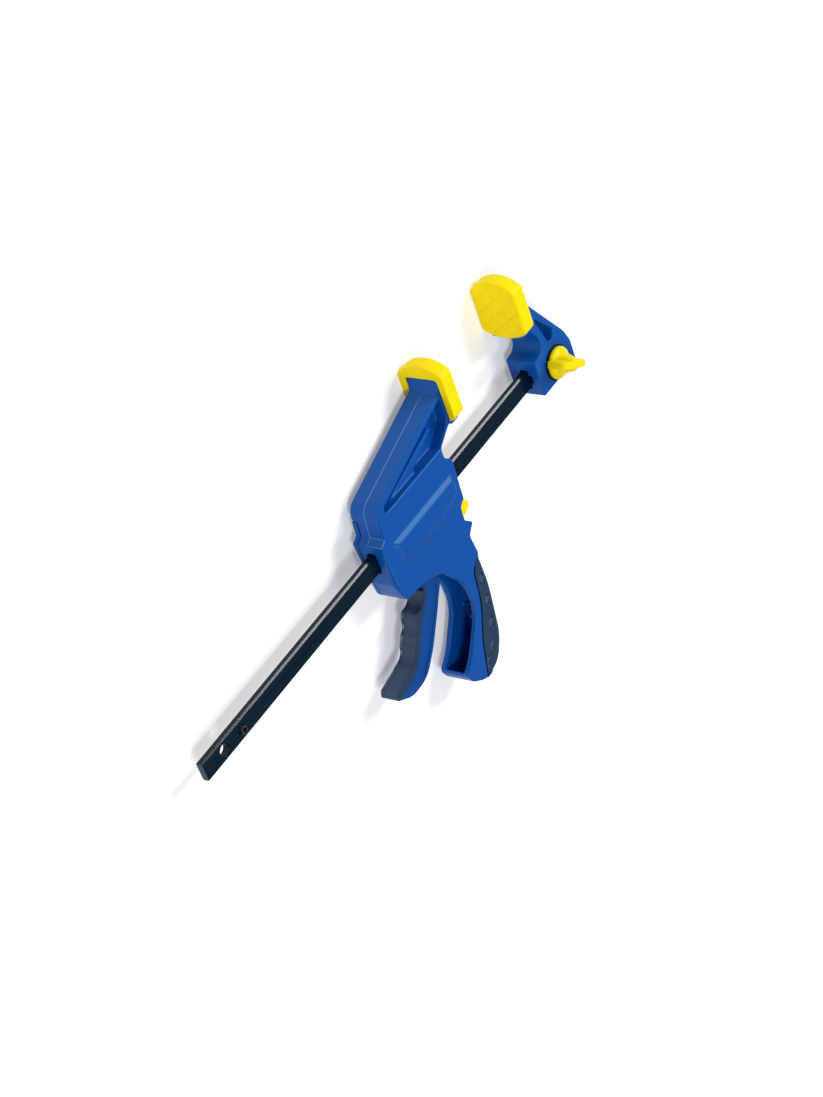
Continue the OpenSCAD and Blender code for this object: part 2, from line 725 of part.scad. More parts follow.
module jaw_knob() {
    color(yellow)
    on_jaw()
    translate([0, 0, knob_base])
    difference() {
        union() {
            rotate_extrude($fn = 64)
                polygon([[0, 0], [knob_d / 2, 0], [knob_d / 2, foot_h - knob_edge],
                         [knob_d / 2 - knob_edge, foot_h], [knob_d / 2 - 3, foot_h + 1.4],
                         hub_mid, [hub_r, hub_h - 1], [hub_r - 1, hub_h], [0, hub_h]]);
            rotate(knob_turn) wings();
        }
        translate([0, 0, -eps]) cylinder(h = knob_sink + seat_gap, d = jaw_screw_d + 2 * run_gap, $fn = 48);
    }
}

module wings() {
    half = wing_span / 2;
    rotate([90, 0, 0])
    linear_extrude(wing_t, center = true)
    rounded_shape([[-half, wing_low, 1.2], [half, wing_low, 1.2], [half - 0.8, knob_h, 5],
                   [0.8 - half, knob_h, 5]]);
}

module jaw_screw() {
    color(steel)
    on_jaw()
    translate([0, 0, -half_w + screw_sink])
    cylinder(h = body_w + washer_t - screw_sink + knob_sink, d = jaw_screw_d, $fn = 48);
}

// ---- trigger ----
module finger_hollows() {
    for (p = finger_spots) translate(p) circle(finger_r, $fn = 32);
}

module trigger_side() {
    difference() {
        rounded_shape(trigger_outline);
        finger_hollows();
    }
}

module grip_side() {
    intersection() {
        trigger_side();
        rounded_shape(trigger_grip_line);
    }
}

module trigger_core() {
    intersection() {
        grip_side();
        translate(core_shift) grip_side();
    }
}

module trigger() {
    color(blue)
    on_body()
    difference() {
        union() {
            slab(-trigger_w / 2, trigger_w / 2) {
                difference() {
                    trigger_side();
                    rounded_shape(trigger_grip_line);
                }
                translate(pivot) circle(boss_trigger_r, $fn = 48);
                translate([pivot.x, nose_y]) circle(nose_r, $fn = 48);
                translate([pivot.x - nose_r + 0.4, pivot.y]) square([2 * nose_r - 0.8, nose_y - pivot.y]);
            }
            slab(-trigger_core_w / 2, trigger_core_w / 2) trigger_core();
        }
        translate([pivot.x, pivot.y, -body_w])
            cylinder(h = 2 * body_w, d = trigger_pin_d + 2 * run_gap, $fn = 48);
        translate([pivot.x - 20, -bar_h / 2 - fork_depth, -bar_t / 2 - ear_gap])
            cube([40, 40, bar_t + 2 * ear_gap]);
        for (side = [0, 1]) mirror([0, 0, side])
            slab(trigger_w / 2 - hollow_depth, trigger_w / 2 + eps) rounded_shape(hollow);
    }
}

module trigger_grip() {
    color(black)
    on_body()
    difference() {
        slab(-trigger_w / 2, trigger_w / 2) grip_side();
        slab(-trigger_core_w / 2, trigger_core_w / 2) trigger_core();
    }
}

module trigger_pin() {
    low = cover_z - pin_sink + pin_play;
    color(steel)
    on_body()
    translate([pivot.x, pivot.y, low])
    cylinder(h = inner_z + pin_wall_sink - pin_play - low, d = trigger_pin_d, $fn = 48);
}

// ---- drive ----
module slotted_plate(thick, top, bottom, width) {
    along_x(0, thick) difference() {
        translate([(top + bottom) / 2, 0]) round_rect(top - bottom, width, 1.5);
        bar_slot(slide_gap);
    }
}

module front_drive_plate() {
    color(steel)
    on_body()
    translate([drive_front, 0, 0]) slotted_plate(drive_plate_t, drive_top, drive_bottom, drive_w);
}

module rear_drive_plate() {
    color(steel)
    on_body()
    translate([drive_rear - drive_plate_t, 0, 0])
        slotted_plate(drive_plate_t, drive_top, drive_bottom, drive_w);
}

// a round wire wound round the bar, as rings of facets along a helix with closed end turns
function coil_height(s, turns, length) =
    let (flat = 1, pitch = (length - 3 * spring_wire) / max(1, turns - 2 * flat))
    spring_wire / 2 + (s < flat ? s * spring_wire
        : s > turns - flat ? length - spring_wire - (turns - s) * spring_wire
        : spring_wire + (s - flat) * pitch);
function coil_ring(s, turns, length) =
    let (a = 360 * s, out = [0, cos(a), sin(a)])
    [for (k = [0:wire_sides - 1])
        let (b = 360 * k / wire_sides)
        out * (coil_r + spring_wire / 2 * cos(b))
            + [coil_height(s, turns, length) + spring_wire / 2 * sin(b), 0, 0]];

module coil(turns, length) {
    n = turns * coil_steps;
    w = wire_sides;
    points = [for (i = [0:n]) each coil_ring(i / coil_steps, turns, length)];
    sides = [for (i = [0:n - 1], k = [0:w - 1])
             [i * w + k, i * w + (k + 1) % w, (i + 1) * w + (k + 1) % w, (i + 1) * w + k]];
    first = [for (k = [w - 1:-1:0]) k];
    last = [for (k = [0:w - 1]) n * w + k];
    polyhedron(points, concat([first, last], sides));
}

module drive_spring() {
    color(steel)
    on_body()
    translate([end_wall_t + free_gap, 0, 0]) coil(drive_turns, drive_spring_l);
}

// ---- brake ----
module leaning() translate([hinge.x, hinge.y, 0]) rotate(brake_lean) children();

// the narrow tail of the brake plate, which the button fits over
module brake_tail(gap) {
    translate([-brake_plate_t - gap, -brake_l, -brake_tail_w / 2 - gap])
        cube([brake_plate_t + 2 * gap, brake_l + brake_tail_top, brake_tail_w + 2 * gap]);
}

module brake_plate() {
    color(steel)
    on_body()
    leaning() {
        difference() {
            translate([-brake_plate_t, brake_tail_top, -brake_w / 2])
                cube([brake_plate_t, -brake_tail_top, brake_w]);
            translate([-brake_plate_t - eps, -hinge.y - brake_slot_h / 2, -bar_t / 2 - slide_gap])
                cube([brake_plate_t + 2 * eps, brake_slot_h, bar_t + 2 * slide_gap]);
        }
        brake_tail(0);
    }
}

module brake_spring() {
    color(steel)
    on_body()
    translate([rib_x + rib_t + free_gap, 0, 0]) coil(brake_turns, brake_spring_l);
}

module release_button() {
    color(yellow)
    on_body()
    difference() {
        slab(-button_w / 2, button_w / 2) rounded_shape(button_outline);
        leaning() brake_tail(run_gap);
    }
}

body_shell();
side_cover();
cover_screws();
handle_grip();
moving_jaw_pad();
bar();
stop_pin();
fixed_jaw();
fixed_jaw_pad();
jaw_nut();
jaw_washer();
jaw_knob();
jaw_screw();
trigger();
trigger_grip();
trigger_pin();
front_drive_plate();
rear_drive_plate();
drive_spring();
brake_plate();
brake_spring();
release_button();
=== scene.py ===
"""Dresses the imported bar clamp: softened mouldings, rubber, painted steel and a plain studio."""

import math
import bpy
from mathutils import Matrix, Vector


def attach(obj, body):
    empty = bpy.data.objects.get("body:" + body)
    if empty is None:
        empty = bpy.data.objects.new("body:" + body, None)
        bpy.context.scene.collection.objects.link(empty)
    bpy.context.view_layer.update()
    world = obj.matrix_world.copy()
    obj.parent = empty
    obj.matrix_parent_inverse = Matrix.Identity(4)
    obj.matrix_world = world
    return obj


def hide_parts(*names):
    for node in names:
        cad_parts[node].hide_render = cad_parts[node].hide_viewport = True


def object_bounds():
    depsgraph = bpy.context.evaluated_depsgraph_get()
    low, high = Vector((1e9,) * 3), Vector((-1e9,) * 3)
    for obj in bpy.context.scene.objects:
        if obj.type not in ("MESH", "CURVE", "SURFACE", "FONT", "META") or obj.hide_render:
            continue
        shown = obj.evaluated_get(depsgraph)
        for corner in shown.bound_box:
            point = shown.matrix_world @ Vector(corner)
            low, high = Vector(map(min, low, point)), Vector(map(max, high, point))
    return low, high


bl_info = {
    "name": "Bar clamp dressing",
    "version": (1, 0, 0),
    "blender": (4, 5, 0),
    "location": "3D View > Sidebar > Bar clamp",
    "description": "Builds the visible pieces of a one-handed bar clamp around its packed solids",
    "category": "Object",
}

import bmesh
import bpy
from mathutils import Matrix, Vector

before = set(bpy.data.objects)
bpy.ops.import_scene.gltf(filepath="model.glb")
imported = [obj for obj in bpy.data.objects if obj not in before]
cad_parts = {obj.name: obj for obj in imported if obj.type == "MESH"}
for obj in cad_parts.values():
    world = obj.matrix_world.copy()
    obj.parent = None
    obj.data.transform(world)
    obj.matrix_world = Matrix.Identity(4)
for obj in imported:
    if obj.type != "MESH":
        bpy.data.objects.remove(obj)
CAD_BOX = [list(corner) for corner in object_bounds()]

MM = 0.001
BODY_X = 0.155  # front of the casing along the bar
HALF_W = 0.0105  # half the casing's thickness
JAW_X = 0.350  # axis of the fixed jaw's screw
PAD_FACES = {"moving_jaw_pad": 0.253, "fixed_jaw_pad": 0.3239}  # where they meet the work
BAR_ENDS = (-0.018, 0.368)
MERGE = 0.0001  # points of a copied solid that are closer than this are one
RIM_BEND = 20  # a rim turns by at least so many degrees

# pinhole camera: focal length and height of its frame in pixels, then its sensor in millimetres
FOCAL = 2517
FRAME_H = 1097
SENSOR = 36
CAMERA_PLACE = (-0.6461, 0.8412, 0.8436)
CAMERA_WAY = (0.570, -0.586, -0.577)
CAMERA_UP = (0.637, 0.758, -0.140)

# each lamp's way from the clamp, its two widths in metres and its power in watts
LAMPS = {
    "key_lamp": ((0.57, 0.28, 0.77), (0.8, 0.35), 20.0),
    "strip_lamp": ((0.57, 0.577, 0.586), (0.9, 0.14), 20.0),
    "rim_lamp": ((-0.22, -0.58, 0.785), (0.5, 0.5), 10.0),
    "fill_lamp": ((-0.66, 0.10, 0.74), (0.7, 0.7), 25.0),
}
LAMP_FAR = 2.5  # distance of the lamps from the clamp
LAMP_AIM = (0.2, 0.0, 0.0)
WORLD_LIGHT = 0.27
FLOOR_GLOW = 0.25
FLOOR_SIZE = 12

# linear colours that belong to one detail of a finish; the seam's is painted shade and the
# dimples' painted light
# painted shade: near-black colour of the joint where the handle rubber meets the plastic
SEAM_SHADE_COLOUR = (0.001, 0.008, 0.045)
# painted light: paler middles of the handle's dimples
DIMPLE_LIGHT_COLOUR = (0.030, 0.078, 0.19)
CUT_COLOUR = (0.028, 0.052, 0.095)  # sheared ends of the bar
SCUFF_COLOUR = (0.06, 0.07, 0.08)
CUT_FADE = 0.0003  # the cut ends' colour begins this far from them
CUT_EDGE = 0.00005  # and is full this far from them

# middles of the handle's dimples, in millimetres from the casing's front and from the bar's
# centre line, and their lean in degrees
DIMPLES = (
    (68.4, -67.8, 6),
    (66.6, -83.3, -8),
    (63.5, -98.5, -14),
    (57.3, -112.2, -30),
    (49.2, -118.6, -52),
)
SHELF = ((0.0, 13.2), (4.5, 15.6))  # lower and upper edge of the shelf over the bar, likewise


# ---- sizes and colours that a user may change ----
def length(label, text, value):
    """A length in metres for a property group."""
    return bpy.props.FloatProperty(
        name=label, description=text, default=value, min=0, precision=5, unit="LENGTH"
    )


def passes(label, text, value):
    """A number of smoothing passes for a property group."""
    return bpy.props.IntProperty(name=label, description=text, default=value, min=0, max=60)


def colour(label, text, value):
    """A linear colour for a property group."""
    return bpy.props.FloatVectorProperty(
        name=label, description=text, default=value, min=0, max=1, size=3, subtype="COLOR"
    )


class ClampSizes(bpy.types.PropertyGroup):
    """Softening and small details of the mouldings."""

    casing_voxel: length("Casing detail", "Voxel that the casing is remeshed with", 0.00045)
    fine_voxel: length("Fine detail", "Voxel that the smaller mouldings are remeshed with", 0.0003)
    casing_passes: passes("Casing edges", "Smoothing passes over the whole casing", 6)
    rim_passes: passes("Rims", "Further passes over the rims of the arm and the handle", 44)
    rubber_passes: passes("Rubber edges", "Smoothing passes over the rubber", 10)
    pad_passes: passes("Pad edges", "Smoothing passes over the edges of the pads", 34)
    knob_passes: passes("Knob edges", "Smoothing passes over the knob and the button", 34)
    ridge_passes: passes("Ridge", "Further passes over the top of the ridge along the bar", 18)
    fade_passes: passes("Ridge foot", "Further passes where the ridge fades out below", 60)
    scoop_passes: passes("Scoop", "Further passes inside the trigger's scooped front", 40)
    bar_round: length("Bar ends", "Chamfer round the bar's cut ends", 0.0004)
    parting_r: length("Parting line", "Radius of the parting line along the arm", 0.0003)
    seam: length("Rubber seam", "Radius of the dark line where the handle rubber ends", 0.00038)
    dimple_wide: length("Dimple width", "Half width of the dimples in the handle rubber", 0.0025)
    dimple_long: length("Dimple length", "Half length of the dimples in the handle rubber", 0.0041)
    dimple_depth: length("Dimple depth", "Depth of the dimples in the handle rubber", 0.0008)
    scoop_rim: length("Scoop rim", "Width of the rims along the trigger's scooped front", 0.0012)
    scoop_depth: length("Scoop depth", "Depth of the scoop along the trigger's front", 0.0013)


class ClampColours(bpy.types.PropertyGroup):
    """Colours of the finishes."""

    blue: colour("Blue plastic", "Moulded casing, jaw and trigger", (0.002, 0.076, 0.365))
    # the parting line and the shelf outline are paler than the casing's blue: painted highlight on
    # real raised lines
    edge: colour("Parting line", "Line where the halves of the mould met", (0.10, 0.24, 0.55))
    yellow: colour("Yellow", "Pads, knob and button", (0.97, 0.77, 0.001))
    rubber: colour("Rubber", "Handle and trigger grips", (0.010, 0.040, 0.098))
    paint: colour("Bar paint", "Painted bar", (0.001, 0.0105, 0.024))
    steel: colour("Steel", "Plates, pins, springs and screws", (0.52, 0.52, 0.53))
    floor: colour("Floor", "Plain pale floor", (0.9, 0.9, 0.9))


def sizes():
    return bpy.context.scene.clamp_sizes


def colours():
    return bpy.context.scene.clamp_colours


# ---- mesh helpers ----
def only(obj):
    """Deselects everything, then selects obj and makes it active."""
    bpy.ops.object.select_all(action="DESELECT")
    obj.select_set(True)
    bpy.context.view_layer.objects.active = obj


def copy_of(node, name, merge=MERGE):
    """A copy of a CAD node's mesh with its doubles merged and its flat faces whole."""
    obj = bpy.data.objects.new(name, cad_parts[node].data.copy())
    obj.data.name = name
    obj.data.materials.clear()
    bpy.context.scene.collection.objects.link(obj)
    only(obj)
    bpy.ops.object.mode_set(mode="EDIT")
    bpy.ops.mesh.select_all(action="SELECT")
    bpy.ops.mesh.remove_doubles(threshold=merge)
    bpy.ops.mesh.dissolve_limited(angle_limit=math.radians(1))
    bpy.ops.object.mode_set(mode="OBJECT")
    return obj


def twin(obj, name):
    """A second object with a mesh of its own."""
    other = bpy.data.objects.new(name, obj.data.copy())
    bpy.context.scene.collection.objects.link(other)
    return other


def pick(obj, kind, wanted):
    """Opens obj in edit mode with those vertices, edges or faces selected that are wanted."""
    only(obj)
    bpy.ops.object.mode_set(mode="EDIT")
    bpy.ops.mesh.select_mode(type=kind)
    bpy.ops.mesh.select_all(action="DESELECT")
    shape = bmesh.from_edit_mesh(obj.data)
    parts = {"VERT": shape.verts, "EDGE": shape.edges, "FACE": shape.faces}[kind]
    found = [part for part in parts if wanted(part)]
    if not found:
        raise RuntimeError(f"{obj.name} has no such {kind.lower()}")
    for part in found:
        part.select_set(True)
    bmesh.update_edit_mesh(obj.data)


def round_edges(obj, wanted, offset, segments=3):
    """Bevels the edges for which wanted(edge) holds."""
    pick(obj, "EDGE", wanted)
    bpy.ops.mesh.bevel(offset=offset, segments=segments, clamp_overlap=False)
    bpy.ops.object.mode_set(mode="OBJECT")


def modify(obj, kind, **settings):
    """Adds a modifier and applies it."""
    only(obj)
    modifier = obj.modifiers.new(kind.title(), kind)
    for key, value in settings.items():
        setattr(modifier, key, value)
    bpy.ops.object.modifier_apply(modifier=modifier.name)


def is_rim(edge, z):
    """True for an edge that lies at height z, or -z, between a flat side and the wall round it."""
    if len(edge.link_faces) != 2 or math.degrees(edge.calc_face_angle(0)) < RIM_BEND:
        return False
    if any(abs(abs(vert.co.z) - z) > 0.05 * MM for vert in edge.verts):
        return False
    slopes = sorted(abs(face.normal.z) for face in edge.link_faces)
    return slopes[1] > 0.99 and slopes[0] < 0.9 and edge.is_convex


def wall_of(edge):
    """The wall that meets a flat side at a rim."""
    return min(edge.link_faces, key=lambda face: abs(face.normal.z))


def clamped(value):
    """A share between nothing and all."""
    return min(1.0, max(0.0, value))


def grow_soft(obj, voxel, count, weight=None):
    """Remeshes a closed shape and smooths it, so that all its edges are rounded."""
    modify(obj, "REMESH", mode="VOXEL", voxel_size=voxel)
    smooth(obj, count, weight)


def smooth(obj, count, weight=None):
    """Smoothing passes; weight(place) says how much each point takes part."""
    settings = {"factor": 0.5, "iterations": count}
    if weight:
        group = obj.vertex_groups.new(name="share")
        for vert in obj.data.vertices:
            group.add([vert.index], weight(vert.co), "REPLACE")
        settings["vertex_group"] = "share"
    modify(obj, "SMOOTH", **settings)
    obj.vertex_groups.clear()


def thin(obj, ratio=0.3):
    """Takes away the points that flat places don't need."""
    modify(obj, "DECIMATE", ratio=ratio)


def as_line(obj, radius):
    """Turns an object's edges into a thin round line."""
    only(obj)
    bpy.ops.object.convert(target="CURVE")
    curve = bpy.context.object.data
    curve.bevel_depth = radius
    curve.bevel_resolution = 1
    curve.use_fill_caps = True
    bpy.ops.object.convert(target="MESH")
    return bpy.context.object


def on_body(place):
    """Millimetres from the casing's front, from the bar's centre line and from its mid-plane."""
    return (place.x - BODY_X) / MM, place.y / MM, place.z / MM


def finish(obj, body, material, nodes=(), angle=40):
    """Smooth shading, finish, body and the CAD nodes that the piece stands for."""
    only(obj)
    bpy.ops.object.shade_smooth_by_angle(angle=math.radians(angle))
    obj.data.materials.clear()
    obj.data.materials.append(material)
    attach(obj, body)
    if nodes:
        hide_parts(*nodes)
    return obj


# ---- material helpers ----
class Value:
    """A socket that takes part in sums."""

    def __init__(self, finish_of, socket):
        self.finish = finish_of
        self.socket = socket

    def _sum(self, operation, first, second):
        return self.finish.node(
            "ShaderNodeMath", {"operation": operation}, {0: first, 1: second}
        )

    def __add__(self, other):
        return self._sum("ADD", self, other)

    def __radd__(self, other):
        return self._sum("ADD", other, self)

    def __sub__(self, other):
        return self._sum("SUBTRACT", self, other)

    def __rsub__(self, other):
        return self._sum("SUBTRACT", other, self)

    def __mul__(self, other):
        return self._sum("MULTIPLY", self, other)

    def __rmul__(self, other):
        return self._sum("MULTIPLY", other, self)


class Finish:
    """One material with a principled shader."""

    def __init__(self, name):
        self.material = bpy.data.materials.new(name)
        self.material.use_nodes = True
        self.tree = self.material.node_tree
        self.shader = self.tree.nodes["Principled BSDF"]

    def node(self, kind, settings, values, output=0):
        """Adds a node, sets it, joins its inputs and returns one output."""
        node = self.tree.nodes.new(kind)
        for key, value in settings.items():
            setattr(node, key, value)
        for key, value in values.items():
            self.join(node.inputs[key], value)
        return Value(self, node.outputs[output])

    def join(self, socket, value):
        if isinstance(value, Value):
            self.tree.links.new(value.socket, socket)
        elif isinstance(value, tuple) and len(value) == 3 and socket.type == "RGBA":
            socket.default_value = (*value, 1)
        else:
            socket.default_value = value

    def set(self, **values):
        """Sets inputs of the shader; an underscore stands for a space."""
        for key, value in values.items():
            self.join(self.shader.inputs[key.replace("_", " ")], value)

    def place(self):
        return self.node("ShaderNodeTexCoord", {}, {}, "Object")

    def noise(self, scale, detail=2.0, rough=0.5, stretch=None):
        """Noise on object coordinates, from 0 to 1."""
        place = self.place()
        if stretch:
            place = self.node("ShaderNodeMapping", {}, {"Vector": place, "Scale": stretch})
        return self.node(
            "ShaderNodeTexNoise",
            {},
            {"Vector": place, "Scale": scale, "Detail": detail, "Roughness": rough},
            "Fac",
        )

    def oval(self, x, y, lean):
        """Distance from the middle of a dimple on the ribbed side; 1 on its outline."""
        spot = self.node(
            "ShaderNodeMapping",
            {"vector_type": "TEXTURE"},
            {
                "Vector": self.place(),
                "Location": (BODY_X + x * MM, y * MM, HALF_W),
                "Rotation": (0, 0, math.radians(lean)),
                "Scale": (sizes().dimple_wide, sizes().dimple_long, 3 * MM),
            },
        )
        return self.node("ShaderNodeVectorMath", {"operation": "LENGTH"}, {0: spot}, "Value")

    def ramp(self, value, low, high):
        """value spread from 0 at low to 1 at high."""
        return self.node(
            "ShaderNodeMapRange",
            {"interpolation_type": "SMOOTHSTEP"},
            {"Value": value, "From Min": low, "From Max": high},
        )

    def mix(self, factor, first, second):
        return self.node(
            "ShaderNodeMix", {"data_type": "RGBA"}, {0: factor, 6: first, 7: second}, 2
        )

    def bump(self, height, distance, strength=1.0):
        bump = self.node(
            "ShaderNodeBump",
            {},
            {"Height": height, "Distance": distance, "Strength": strength},
        )
        self.set(Normal=bump)


def shade(rgb, factor):
    """A colour made lighter or darker."""
    return tuple(min(1.0, channel * factor) for channel in rgb)


def blue_plastic(name, base):
    """Moulded plastic with a fine spark-eroded grain and faint flow marks."""
    paint = Finish(name)
    cloud = paint.noise(26, 3)
    rub = paint.ramp(paint.noise(170, 4, 0.65), 0.60, 0.80)
    grain = paint.noise(2400, 2)
    tone = paint.mix(cloud, shade(base, 0.95), shade(base, 1.05))
    pale = tuple(0.9 * channel + 0.1 * 0.3 for channel in base)
    paint.set(
        Base_Color=paint.mix(rub * 0.2, tone, pale),
        Roughness=0.30 + cloud * 0.08 + grain * 0.05,
        Specular_IOR_Level=0.28,
        Specular_Tint=(0.5, 0.95, 1.0),
    )
    paint.bump(grain * 0.6 + paint.noise(600, 2) * 0.4, 0.00005, 0.25)
    return paint.material


def yellow_plastic(name, rough, grain_depth):
    """Bright moulded yellow; the pads are softer and duller than the knob."""
    paint = Finish(name)
    base = tuple(colours().yellow)
    cloud = paint.noise(45, 3)
    grain = paint.noise(1800, 3)
    deep = (base[0] * 0.97, base[1] * 0.92, base[2])
    paint.set(
        Base_Color=paint.mix(cloud, deep, base),
        Roughness=rough + cloud * 0.08,
        Specular_IOR_Level=0.12,
    )
    paint.bump(grain, grain_depth, 0.4)
    return paint.material


def grip_rubber():
    """Dark overmoulded rubber, with a dull bloom in places; its dimples are paler inside as
    painted light, with a rim of painted shade.
    """
    paint = Finish("grip_rubber")
    base = tuple(colours().rubber)
    cloud = paint.noise(60, 4, 0.6)
    grain = paint.noise(3000, 2)
    bloom = tuple(0.95 * channel + 0.05 * 0.12 for channel in base)
    tone = paint.mix(paint.ramp(cloud, 0.35, 0.75), shade(base, 0.9), bloom)
    rings = [paint.oval(x, y, lean) for x, y, lean in DIMPLES]
    # each dimple's rim is darkened: painted shade
    dimple_rim_shade = sum(paint.ramp(far, 1.1, 0.95) for far in rings)
    # each dimple's middle is made paler: painted light
    inside = sum(paint.ramp(far, 0.85, 0.6) for far in rings)
    tone = paint.mix(dimple_rim_shade, tone, shade(base, 0.35))
    paint.set(
        Base_Color=paint.mix(inside, tone, DIMPLE_LIGHT_COLOUR),
        Roughness=0.28 + cloud * 0.12,
        Specular_IOR_Level=0.4,
    )
    paint.bump(grain, 0.00005, 0.35)
    return paint.material


def bar_paint():
    """Glossy black paint, worn through at the sheared ends and scuffed along the faces."""
    paint = Finish("bar_paint")
    base = tuple(colours().paint)
    along = paint.node("ShaderNodeSeparateXYZ", {}, {"Vector": paint.place()}, "X")
    streak = paint.noise(420, 4, 0.6, (0.04, 1, 1))
    speck = paint.ramp(paint.noise(900, 3, 0.7), 0.68, 0.76)
    near, far = BAR_ENDS
    end = paint.ramp(along, near + CUT_FADE, near + CUT_EDGE)
    end = end + paint.ramp(along, far - CUT_FADE, far - CUT_EDGE)
    coat = paint.mix(paint.ramp(streak, 0.4, 0.8), shade(base, 0.85), shade(base, 1.6))
    coat = paint.mix(speck * 0.05, coat, SCUFF_COLOUR)
    paint.set(
        Base_Color=paint.mix(end, coat, CUT_COLOUR),
        Roughness=0.15 + streak * 0.03 + end * 0.2,
        Specular_IOR_Level=0.13,
    )
    return paint.material


def bright_steel(name, tint, stretch, rough):
    """Ground or drawn steel, with fine streaks along one way."""
    paint = Finish(name)
    base = shade(tuple(colours().steel), tint)
    streak = paint.noise(900, 3, 0.6, stretch)
    stain = paint.noise(120, 3)
    paint.set(
        Base_Color=paint.mix(streak, shade(base, 0.8), shade(base, 1.1)),
        Metallic=1.0,
        Roughness=rough + streak * 0.15 + stain * 0.08,
    )
    paint.bump(streak, 0.00003, 0.5)
    return paint.material


MATERIALS = {}


def material(name):
    """Each finish is made once."""
    makers = {
        "blue_plastic": lambda: blue_plastic("blue_plastic", tuple(colours().blue)),
        # paler blue for the raised lines: painted highlight
        "blue_edge_highlight": lambda: blue_plastic("blue_edge_highlight", tuple(colours().edge)),
        "yellow_plastic": lambda: yellow_plastic("yellow_plastic", 0.30, 0.00003),
        "yellow_rubber": lambda: yellow_plastic("yellow_rubber", 0.46, 0.00008),
        "grip_rubber": grip_rubber,
        "bar_paint": bar_paint,
        "ground_plate": lambda: bright_steel("ground_plate", 0.9, (1, 0.05, 1), 0.28),
        "spring_wire": lambda: bright_steel("spring_wire", 1.0, (1, 1, 1), 0.22),
        "zinc_plate": lambda: bright_steel("zinc_plate", 1.05, (1, 1, 0.1), 0.3),
        "dark_steel": lambda: bright_steel("dark_steel", 0.3, (1, 1, 0.1), 0.26),
        # near-black finish of the seam line: painted shade
        "painted_seam_shade": lambda: blue_plastic("painted_seam_shade", SEAM_SHADE_COLOUR),
        # the trigger's blue is the casing's blue darkened: painted shade
        "shaded_blue_trigger": lambda: blue_plastic("shaded_blue_trigger", shade(tuple(colours().blue), 0.75)),
    }
    if name not in MATERIALS:
        MATERIALS[name] = makers[name]()
    return MATERIALS[name]


# ---- pieces ----
class CLAMP_OT_stage(bpy.types.Operator):
    """Camera, lamps, world and a plain pale floor"""

    bl_idname = "clamp.stage"
    bl_label = "Stage"

    def execute(self, context):
        scene = context.scene
        scene.view_settings.view_transform = "Standard"
        self.camera(scene)
        self.world(scene)
        for name, (way, size, power) in LAMPS.items():
            self.lamp(name, way, size, power)
        self.floor()
        return {"FINISHED"}

    def camera(self, scene):
        data = bpy.data.cameras.new("camera")
        data.lens = FOCAL / FRAME_H * SENSOR
        data.sensor_width = SENSOR
        data.clip_start = 0.05
        data.clip_end = 20
        camera = bpy.data.objects.new("camera", data)
        scene.collection.objects.link(camera)
        forward = Vector(CAMERA_WAY).normalized()
        up = Vector(CAMERA_UP)
        right = forward.cross(up).normalized()
        up = right.cross(forward)
        turn = Matrix((right, up, -forward)).transposed().to_4x4()
        camera.matrix_world = Matrix.Translation(CAMERA_PLACE) @ turn
        scene.camera = camera

    def world(self, scene):
        world = bpy.data.worlds.new("studio")
        world.use_nodes = True
        light = world.node_tree.nodes["Background"].inputs
        light["Color"].default_value = (1, 1, 1, 1)
        light["Strength"].default_value = WORLD_LIGHT
        scene.world = world

    def lamp(self, name, way, size, power):
        """A soft lamp that shines on the clamp from one way, with its width along the bar."""
        data = bpy.data.lights.new(name, "AREA")
        data.shape = "ELLIPSE"
        data.size, data.size_y = size
        data.energy = power
        lamp = bpy.data.objects.new(name, data)
        bpy.context.scene.collection.objects.link(lamp)
        back = Vector(way).normalized()
        high = back.cross(Vector((1, 0, 0))).normalized()
        wide = high.cross(back)
        turn = Matrix((wide, high, back)).transposed().to_4x4()
        lamp.matrix_world = Matrix.Translation(Vector(LAMP_AIM) + LAMP_FAR * back) @ turn

    def floor(self):
        bpy.ops.object.select_all(action="DESELECT")
        bpy.ops.mesh.primitive_plane_add(size=FLOOR_SIZE, location=(0, 0, CAD_BOX[0][2]))
        floor = bpy.context.object
        floor.name = "floor"
        pale = Finish("pale_floor")
        path = pale.tree.nodes.new("ShaderNodeLightPath")
        seen = sum(
            Value(pale, path.outputs[ray])
            for ray in ("Is Camera Ray", "Is Glossy Ray", "Is Transmission Ray")
        )
        pale.set(
            Base_Color=tuple(colours().floor),
            Roughness=0.9,
            Emission_Color=(1.0, 1.0, 1.0),
            Emission_Strength=seen * FLOOR_GLOW,
            Specular_IOR_Level=0.0,
        )
        floor.data.materials.append(pale.material)


